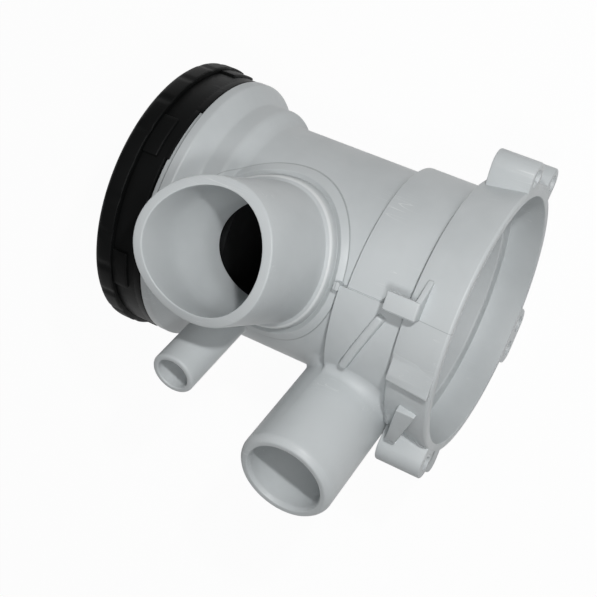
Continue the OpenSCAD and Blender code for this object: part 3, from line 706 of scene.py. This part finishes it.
class PUMPFILTER_OT_neck_shroud(bpy.types.Operator):
    """Raised band round the outlet side of the pump neck, and the small catch at its end"""
    bl_idname = "pumpfilter.neck_shroud"
    bl_label = "Neck shroud and catch"

    def execute(self, context):
        band = sector([
            (R_TUBE - 1.2, Y_SHROUD), (R_SHROUD, Y_SHROUD, 0.4), (R_SHROUD, Y_BELL + 0.6),
            (R_TUBE + 0.5, Y_BELL + 0.6), (R_TUBE + 0.5, Y_NECK + 1), (R_TUBE - 1.2, Y_NECK + 1)], -72, 91)
        band = cut(band, throat_cutter())
        housing_piece(context, "shroud_band", band, "neck_shroud")
        foot = Matrix.Translation((R_TUBE - 0.6, Y_SHROUD - 1.0, 0)) @ Matrix.Rotation(math.radians(90), 4, "Y")
        catch = plate([(-1.2, -0.6, 0.5), (1.2, -0.6, 0.5), (1.2, 1.2, 0.5), (-1.2, 1.2, 0.5)], 4.2,
                      round_angle(90) @ foot)
        soften(catch, 0.3, 3, 60)
        housing_piece(context, "shroud_catch", catch, "neck_catch")
        return {"FINISHED"}


class PUMPFILTER_OT_inlet(bpy.types.Operator):
    """Inlet nozzle with its arched rim, its bead and the flat collar that lies on the chamber"""
    bl_idname = "pumpfilter.inlet"
    bl_label = "Inlet nozzle"

    def execute(self, context):
        rounding = settings(context)[0].rim_rounding * 1000
        arch = 42.0
        top = 59.0 + R_INLET * R_INLET / (4 * arch)
        wall = turned([
            (15.0, 29.52, 0.3), (15.0, 36.5, 2.5), (17.2, 48.5, 2.5), (17.2, top, rounding),
            (R_INLET, top, rounding), (R_INLET, 35.1, 0.3), (21.5, 35.0, 0.4), (21.8, 32.6, 0.1),
            (23.2, 33.4, 0.15), (25.1, 32.8, 0.1), (25.1, 32.0), (16.8, 32.0), (16.8, 29.52)], 144, "Z", long=4)
        cos_lean = math.cos(INLET_LEAN)
        sin_lean = math.sin(INLET_LEAN)
        for vert in wall.verts:
            x, v, s = vert.co
            share = smoothstep(38, 52, s)
            saddle = math.sqrt(s * s - x * x)
            arched = s - arch + math.sqrt(arch * arch - x * x)
            height = saddle + (arched - saddle) * share
            up = (height - v * sin_lean) / cos_lean
            vert.co = (x, Y_INLET + v * cos_lean - up * sin_lean, height)
        bmesh.ops.recalc_face_normals(wall, faces=wall.faces)
        housing_piece(context, "inlet_pipe", wall, "inlet_nozzle", "inlet_collar")
        return {"FINISHED"}


def on_side_nozzle(bm, y0, offset, radius, fillet, surface):
    """Fits the root of a turned nozzle to the housing and stands it on its axis.
    Heights under 12 are distances from the surface, for a fillet of 4 mm, and are scaled to the fillet's width.
    The others lie along the axis."""
    for vert in bm.verts:
        px, py, s = vert.co
        rho = math.hypot(px, py)
        angle = math.atan2(py, px)
        if s < 12 and rho > radius:
            share = fillet(angle) / 4.0
            rho_new = radius + (rho - radius) * share
            px, py = px * rho_new / rho, py * rho_new / rho
        if s < 12:
            share = fillet(angle) / 4.0
            lift = s * share if s > 0 else s
            if s > -0.5:
                lift -= 0.03 * (1 - smoothstep(0, 4, s))
            away = offset + px
            reach = surface(y0 + py) + lift
            s = math.sqrt(max(reach * reach - away * away, 0.0))
        vert.co = (px, py, s)
    bm.transform(nozzle_place(y0, offset))
    bmesh.ops.recalc_face_normals(bm, faces=bm.faces)
    return bm


class PUMPFILTER_OT_outlet(bpy.types.Operator):
    """Outlet nozzle that leaves the pump chamber along a tangent, blended into the housing, and its rib"""
    bl_idname = "pumpfilter.outlet"
    bl_label = "Outlet nozzle and rib"

    def execute(self, context):
        wide = settings(context)[0].root_fillet * 1000

        def fillet(angle):
            """Width of the fillet round the root: none on the far side, widest towards the bell."""
            free = smoothstep(0.0, 0.55, 1 - math.cos(angle))
            near = 2.6 * smoothstep(0.2, 1.9, 1 - math.cos(angle))
            bell_side = max(0.0, math.sin(angle)) * smoothstep(0.75, 1.5, 1 - math.cos(angle))
            return 0.05 + (0.5 + near + (wide - 5.2) * bell_side) * free

        pipe = turned([
            (0, 41.6), (10.9, 41.6, 0.4), (11.0, 64.6, 0.3), (11.5, 65.9, 0.3), (13.0, 66.0, 0.4),
            (R_OUTLET, 64.4, 0.9), (R_OUTLET, 0.0, 4.0), (R_OUTLET + 4.02, 0.0), (R_OUTLET + 4.02, -1.2),
            (10, -1.2), (5, -1.2), (0, -1.2)], 128, "Z", segments=8)
        on_side_nozzle(pipe, Y_OUTLET, OUTLET_OFFSET, R_OUTLET, fillet, body_radius)
        pipe = cut(pipe, throat_cutter())
        housing_piece(context, "outlet_pipe", pipe, "outlet_nozzle")

        angles = (84, 75, 66, 56)
        steps = (11.8, 9.5, 7.2, 4.8)
        rib = bmesh.new()
        rails = []
        for angle, step in zip(angles, steps):
            place = round_angle(angle) @ Matrix.Translation((0, Y_NECK + step, 0))
            low = place @ Vector((R_SHROUD - 1.5, 0, 0))
            high = place @ Vector((R_SHROUD + 1.85, 0, 0))
            rails.append((low, high))
        rows = []
        for index, (low, high) in enumerate(rails):
            before = rails[max(index - 1, 0)][0]
            after = rails[min(index + 1, len(rails) - 1)][0]
            forward = (after - before).normalized()
            outward = (high - low).normalized()
            side = forward.cross(outward).normalized()
            end = -0.9 if index == 0 else (0.9 if index == len(rails) - 1 else 0.0)
            foot = low + forward * end * 1.9
            crest = high + forward * end
            rows.append([rib.verts.new(corner) for corner in (
                foot - side * 1.75, foot + side * 1.75, crest + side * 1.1, crest - side * 1.1)])
        for row, following in zip(rows, rows[1:]):
            for k in range(4):
                rib.faces.new((row[k], row[(k + 1) % 4], following[(k + 1) % 4], following[k]))
        rib.faces.new(rows[0])
        rib.faces.new(rows[-1])
        bmesh.ops.recalc_face_normals(rib, faces=rib.faces)
        ends = rows[0] + rows[-1]
        upright = [e for e in rib.edges if e.verts[0] in ends and e.verts[1] in ends
                   and abs(e.calc_length() - 3.4) < 0.6]
        bmesh.ops.bevel(rib, geom=upright, offset=1.0, offset_type="OFFSET", segments=5, profile=0.5,
                        affect="EDGES", material=-1)
        soften(rib, 0.45, 3, 30)
        housing_piece(context, "outlet_ridge", rib, "outlet_rib")
        return {"FINISHED"}


class PUMPFILTER_OT_vent(bpy.types.Operator):
    """Slim vent spout beside the inlet, with a rounded mouth"""
    bl_idname = "pumpfilter.vent"
    bl_label = "Vent spout"

    def execute(self, context):
        spout = turned([
            (4.8, -3.0), (4.8, 58.4, 0.5), (R_VENT, 58.4, 0.95), (R_VENT, 0.0, 4.0), (10.67, 0.0),
            (10.67, -1.2), (5.8, -1.2), (5.8, -3.0)], 64, "Z", segments=6)
        on_side_nozzle(spout, Y_VENT, VENT_OFFSET, R_VENT, lambda angle: 0.8, lambda y: R_TUBE)
        housing_piece(context, "vent_pipe", spout, "vent_spout")
        return {"FINISHED"}


def ear_hole(angle):
    """Screw hole of a boss."""
    bm = turned([(0, -10), (2.5, -10, 0.3), (2.5, -0.35), (2.9, 0.4), (0, 0.4)], 40, "Y", segments=3)
    bm.transform(round_angle(angle) @ Matrix.Translation((R_EARS, 0, 0)))
    return bm


class PUMPFILTER_OT_ears(bpy.types.Operator):
    """Screw bosses round the bell: a pair at the left, a joined pair below and one with a lobe at the right"""
    bl_idname = "pumpfilter.ears"
    bl_label = "Screw bosses"

    def execute(self, context):
        edge = settings(context)[0].edge_rounding * 1000
        inner = 38.3

        def block(half, outer, rounding, start, length, angle, segments):
            """A plate with a rounded outer end that stands on the bell and reaches along it."""
            place = Matrix.Translation((0, start, 0)) @ along_y(angle)
            corners = [(inner, -half), (outer, -half, rounding), (outer, half, rounding), (inner, half)]
            return soften(plate(corners, length, place, segments), edge, 3, 60)

        def boss(angle, radius, length):
            """A rounded plate with a screw hole."""
            shape = block(radius - 0.02, R_EARS + radius, radius - 0.05, -length - 0.05, length, angle, 12)
            return cut(shape, ear_hole(angle))

        parts = [boss(a, 4.6, 12.4) for a in LEFT_EARS]
        web = plate([(38.4, -11), (41.5, -11), (41.5, 11), (38.4, 11)], 11.3,
                    Matrix.Translation((0, -11.4, 0)) @ along_y(184))
        parts.append(soften(web, edge, 3, 60))
        housing_piece(context, "ears_left", joined(*parts), "ear_left")

        pair = block(9.25, 48.45, 4.9, -14.05, 14, 283, 10)
        lower = cut(pair, *[ear_hole(a) for a in LOWER_EARS])
        housing_piece(context, "ears_lower", lower, "ear_lower")

        lobe = block(3.8, 47.0, 3.75, -7.05, 7, 8, 10)
        bridge = plate([(inner, -3.8), (41.9, -3.8), (41.9, 3.8), (inner, 3.8)], 5.9,
                       Matrix.Translation((0, -6, 0)) @ along_y(13))
        right = joined(boss(RIGHT_EAR, 5.0, 14), lobe, bridge)
        housing_piece(context, "ear_right_lobed", right, "ear_right")
        return {"FINISHED"}


class PUMPFILTER_OT_hook_and_lip(bpy.types.Operator):
    """Cable hook with its side web, overhanging lip of the bell and the gusset beside the right boss"""
    bl_idname = "pumpfilter.hook_and_lip"
    bl_label = "Hook, lip and gusset"

    def execute(self, context):
        foot = Y_BELL + 1.9
        back = foot + 2.6
        tip = back - 9.4
        arm = plate([(tip, 41.6, 0.3), (foot, 41.6, 0.5), (foot, 38.2), (back, 38.2), (back, 43.6, 0.7),
                     (tip, 43.6, 0.35)], 5.2, Matrix.Translation((-6.0, 0, 0)) @ CYCLE_AXES)
        soften(arm, 0.3, 3, 60)
        web = plate([(-5.6, 37.6), (-5.6, 38.2), (0.4, 43.3), (0.4, 37.6)], 1.6,
                    Matrix(((1, 0, 0, -6.0), (0, 0, -1, back), (0, 1, 0, 0), (0, 0, 0, 1))))
        soften(web, 0.25, 3, 40)
        housing_piece(context, "hook", joined(arm, web), "cable_hook")

        slope = (R_BELL_MOUTH - R_BELL_ROOT) / -Y_BELL
        along_flare = Matrix(((1, 0, slope, R_BELL_ROOT), (0, 0, 1, Y_BELL + 0.4), (0, 1, 0, 0), (0, 0, 0, 1)))
        pad = plate([(-2.6, 0.0), (-0.1, 0.0), (0.7, -4.4, 3.0), (1.5, -9.0, 1.2), (-0.9, -9.0, 0.8)],
                    -Y_BELL - 1.0, along_flare)
        pad.transform(round_angle(76))
        soften(pad, 0.4, 3, 60)
        housing_piece(context, "lip", pad, "bell_lip")

        gusset = bmesh.new()
        ends = []
        for angle, outer, y0, y1, shift in ((52, 41.6, -8.8, -3.2, 0), (30, 43.4, -12, -8.8, -1)):
            place = round_angle(angle)
            corners = [(37.5, y0), (37.5, y1), (outer, y1), (outer, y0)]
            ends.append([gusset.verts.new(place @ Vector((r, y, shift))) for r, y in corners])
        for k in range(4):
            gusset.faces.new((ends[0][k], ends[0][(k + 1) % 4], ends[1][(k + 1) % 4], ends[1][k]))
        gusset.faces.new(ends[0])
        gusset.faces.new(ends[1])
        clean(gusset)
        soften(gusset, 0.35, 3, 40)
        housing_piece(context, "gusset", gusset, "ear_rib")
        return {"FINISHED"}


class PUMPFILTER_OT_cap(bpy.types.Operator):
    """Screw cap: fluted grip band with a sunk face, lobed collar with its skirts, and the grip bar"""
    bl_idname = "pumpfilter.cap"
    bl_label = "Screw cap"

    def execute(self, context):
        shape = settings(context)[0]
        material = plastic(context, "cap")
        band_end = Y_COLLAR - 0.05
        recess = 33.8
        register = 36.2
        back = Y_FLANGE - 0.3
        steps = shape.flute_count * 14
        shell = turned([
            (0, Y_DISC), (recess, Y_DISC, 0.8), (recess, Y_FRONT, 0.8), (R_BAND - 1.2, Y_FRONT + 0.1, 1.6),
            (R_BAND, Y_FRONT + 2.0, 1.0), (R_BAND, band_end, 0.4), (register, band_end), (register, back),
            (0, back)], steps, segments=4)
        depth = shape.flute_depth * 1000
        for vert in shell.verts:
            x, y, z = vert.co
            radius = math.hypot(x, z)
            if radius > R_BAND - 2.2 and y > Y_FRONT + 0.3:
                phase = math.atan2(z, x) * shape.flute_count / (2 * math.pi)
                from_middle = abs(phase - round(phase)) * 2
                notch = 1 - smoothstep(0.05, 0.34, from_middle)
                fall = depth * notch * smoothstep(Y_FRONT + 0.9, Y_FRONT + 2.4, y)
                vert.co = (x * (radius - fall) / radius, y, z * (radius - fall) / radius)
        piece("cap_body", shell, "cap", material, ("cap_shell",))

        ring = [(register, Y_COLLAR, 0.2), (R_COLLAR, Y_COLLAR, 0.35),
                (R_COLLAR, back, 0.25), (register, back, 0.2)]
        parts = [turned(ring, 240)]
        lobe_start = Y_COLLAR - 0.02
        lobe_end = Y_COLLAR + 5
        for middle in range(0, 360, 60):
            bump = [(39.8, lobe_start), (41.4, lobe_start, 0.4), (41.4, lobe_end, 0.5), (39.8, lobe_end)]
            lobe = sector(bump, middle - 9, middle + 9)
            parts.append(soften(lobe, 0.35, 3, 60))
        for start, end, reach in ((-20, 76, 1.6), (112, 137, 0.8), (137, 256, 1.6)):
            skirt = sector([(39.92, back - 0.8), (R_COLLAR, back - 0.8), (R_COLLAR, Y_FLANGE + reach, 0.25),
                            (39.92, Y_FLANGE + reach, 0.15)], start, end)
            parts.append(soften(skirt, 0.2, 2, 60))
        piece("cap_rim", joined(*parts), "cap", material, ("cap_collar",))

        deep = Y_DISC - Y_FRONT
        half = recess + 0.1
        bar = plate([(0.2, -5.5), (0.2, 5.5), (0.8 - deep, 4.1, 0.6), (-deep, 3.1, 0.6), (-deep, -3.1, 0.6),
                     (0.8 - deep, -4.1, 0.6)], 2 * half, Matrix.Translation((-half, Y_DISC, 0)) @ CYCLE_AXES)
        soften(bar, 0.3, 3, 60)
        piece("cap_handle", bar, "cap", material, ("cap_grip_bar",))
        return {"FINISHED"}


class PUMPFILTER_OT_inner_parts(bpy.types.Operator):
    """Plastics and rubber of the threads, spigot, hub, seal, guide ribs and insert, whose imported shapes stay"""
    bl_idname = "pumpfilter.inner_parts"
    bl_label = "Inner parts"

    def execute(self, context):
        kinds = {
            "housing": ("housing_thread", "guide_ribs"),
            "cap": ("cap_spigot", "cap_thread", "cap_hub"),
            "seal": ("cap_seal",),
            "insert": ("insert_disc", "swivel_pin", "insert_trough", "insert_end_ring", "insert_comb"),
        }
        for kind, nodes in kinds.items():
            for node in nodes:
                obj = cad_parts[node]
                obj.data.materials.clear()
                obj.data.materials.append(plastic(context, kind))
        return {"FINISHED"}


def lamp(name, power, size, place, target):
    """A round area lamp that looks at a point."""
    data = bpy.data.lights.new(name, "AREA")
    data.energy = power
    data.shape = "DISK"
    data.size = size
    obj = bpy.data.objects.new(name, data)
    obj.location = place
    obj.rotation_mode = "QUATERNION"
    obj.rotation_quaternion = (Vector(target) - Vector(place)).to_track_quat("-Z", "Y")
    bpy.context.scene.collection.objects.link(obj)


def seen_directly(tree, *kinds):
    """1 for the rays of the given kinds, such as Is Camera Ray, and 0 for all others."""
    rays = tree.nodes.new("ShaderNodeLightPath")
    seen = rays.outputs[kinds[0]]
    for kind in kinds[1:]:
        seen = math_node(tree, "MAXIMUM", seen, rays.outputs[kind])
    return seen


def mixed_shaders(tree, factor, first, second, surface):
    """Sends a mix of two shaders to the tree's output."""
    blend = tree.nodes.new("ShaderNodeMixShader")
    for value, socket in zip((factor, first.outputs[0], second.outputs[0]), blend.inputs):
        tree.links.new(value, socket)
    tree.links.new(blend.outputs[0], surface.inputs["Surface"])


class PUMPFILTER_OT_stage(bpy.types.Operator):
    """Pale floor, soft studio light and the camera at the photograph's angle"""
    bl_idname = "pumpfilter.stage"
    bl_label = "Stage"

    def execute(self, context):
        stage = settings(context)[2]
        scene = context.scene
        scene.view_settings.view_transform = "Standard"
        low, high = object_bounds()
        bm = bmesh.new()
        bmesh.ops.create_grid(bm, x_segments=1, y_segments=1, size=3.0)
        bmesh.ops.translate(bm, verts=bm.verts, vec=(0, 0, low.z - 0.0004))
        mesh = bpy.data.meshes.new("floor")
        bm.to_mesh(mesh)
        bm.free()
        floor = bpy.data.objects.new("floor", mesh)
        scene.collection.objects.link(floor)
        floor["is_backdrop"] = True
        material = bpy.data.materials.new("floor")
        material.use_nodes = True
        tree = material.node_tree
        shader = tree.nodes["Principled BSDF"]
        shader.inputs["Base Color"].default_value = (*stage.floor_colour, 1.0)
        shader.inputs["Roughness"].default_value = 0.9
        shader.inputs["Specular IOR Level"].default_value = 0.1
        glow = tree.nodes.new("ShaderNodeEmission")
        glow.inputs["Color"].default_value = (1, 1, 1, 1)
        glow.inputs["Strength"].default_value = 1.0
        seen = seen_directly(tree, "Is Camera Ray", "Is Glossy Ray", "Is Transmission Ray")
        share = math_node(tree, "MULTIPLY", seen, 0.96)
        mixed_shaders(tree, share, shader, glow, tree.nodes["Material Output"])
        mesh.materials.append(material)

        world = bpy.data.worlds.new("room")
        scene.world = world
        world.use_nodes = True
        tree = world.node_tree
        even = tree.nodes["Background"]
        even.inputs["Color"].default_value = (1, 1, 1, 1)
        even.inputs["Strength"].default_value = stage.room
        white = tree.nodes.new("ShaderNodeBackground")
        white.inputs["Strength"].default_value = 1.0
        seen = seen_directly(tree, "Is Camera Ray", "Is Transmission Ray")
        mixed_shaders(tree, seen, even, white, tree.nodes["World Output"])

        data = bpy.data.cameras.new("camera")
        data.lens = 74.15
        data.sensor_width = 36
        data.clip_start = 0.01
        data.clip_end = 20
        camera = bpy.data.objects.new("camera", data)
        scene.collection.objects.link(camera)
        right = CAMERA_RIGHT
        backward = right.cross(CAMERA_UP).normalized()
        up = backward.cross(right).normalized()
        turn = Matrix((right.normalized(), up, backward)).transposed().to_4x4()
        camera.matrix_world = Matrix.Translation(EYE) @ turn
        scene.camera = camera

        centre = (low + high) / 2
        lamp("key light", stage.key_power, 0.02, EYE + up * 0.075 + right * 0.06, centre)
        lamp("front light", stage.front_power, 0.06, EYE - up * 0.07, centre)
        lamp("fill light", stage.fill_power, 0.7, centre + Vector((0.1, -0.45, 0.75)), centre)
        return {"FINISHED"}


OPERATORS = (
    PUMPFILTER_OT_housing_shell, PUMPFILTER_OT_neck_shroud, PUMPFILTER_OT_inlet, PUMPFILTER_OT_outlet,
    PUMPFILTER_OT_vent, PUMPFILTER_OT_ears, PUMPFILTER_OT_hook_and_lip, PUMPFILTER_OT_cap,
    PUMPFILTER_OT_inner_parts, PUMPFILTER_OT_stage,
)


class PUMPFILTER_PT_sidebar(bpy.types.Panel):
    """Panel that lists the values and the steps"""
    bl_idname = "PUMPFILTER_PT_sidebar"
    bl_label = "Pump filter"
    bl_space_type = "VIEW_3D"
    bl_region_type = "UI"
    bl_category = "Pump filter"

    def draw(self, context):
        for group in settings(context):
            box = self.layout.box()
            for name in group.__annotations__:
                box.prop(group, name)
        for operator in OPERATORS:
            self.layout.operator(operator.bl_idname)


CLASSES = (PumpFilterShape, PumpFilterFinish, PumpFilterStage) + OPERATORS + (PUMPFILTER_PT_sidebar,)


def register():
    for item in CLASSES:
        bpy.utils.register_class(item)
    bpy.types.Scene.pump_filter_shape = bpy.props.PointerProperty(type=PumpFilterShape)
    bpy.types.Scene.pump_filter_finish = bpy.props.PointerProperty(type=PumpFilterFinish)
    bpy.types.Scene.pump_filter_stage = bpy.props.PointerProperty(type=PumpFilterStage)


def unregister():
    del bpy.types.Scene.pump_filter_stage
    del bpy.types.Scene.pump_filter_finish
    del bpy.types.Scene.pump_filter_shape
    for item in reversed(CLASSES):
        bpy.utils.unregister_class(item)


def main():
    """Builds the pieces and the stage in order."""
    register()
    bpy.ops.pumpfilter.housing_shell()
    bpy.ops.pumpfilter.neck_shroud()
    bpy.ops.pumpfilter.inlet()
    bpy.ops.pumpfilter.outlet()
    bpy.ops.pumpfilter.vent()
    bpy.ops.pumpfilter.ears()
    bpy.ops.pumpfilter.hook_and_lip()
    bpy.ops.pumpfilter.cap()
    bpy.ops.pumpfilter.inner_parts()
    bpy.ops.pumpfilter.stage()


if __name__ == "__main__":
    main()
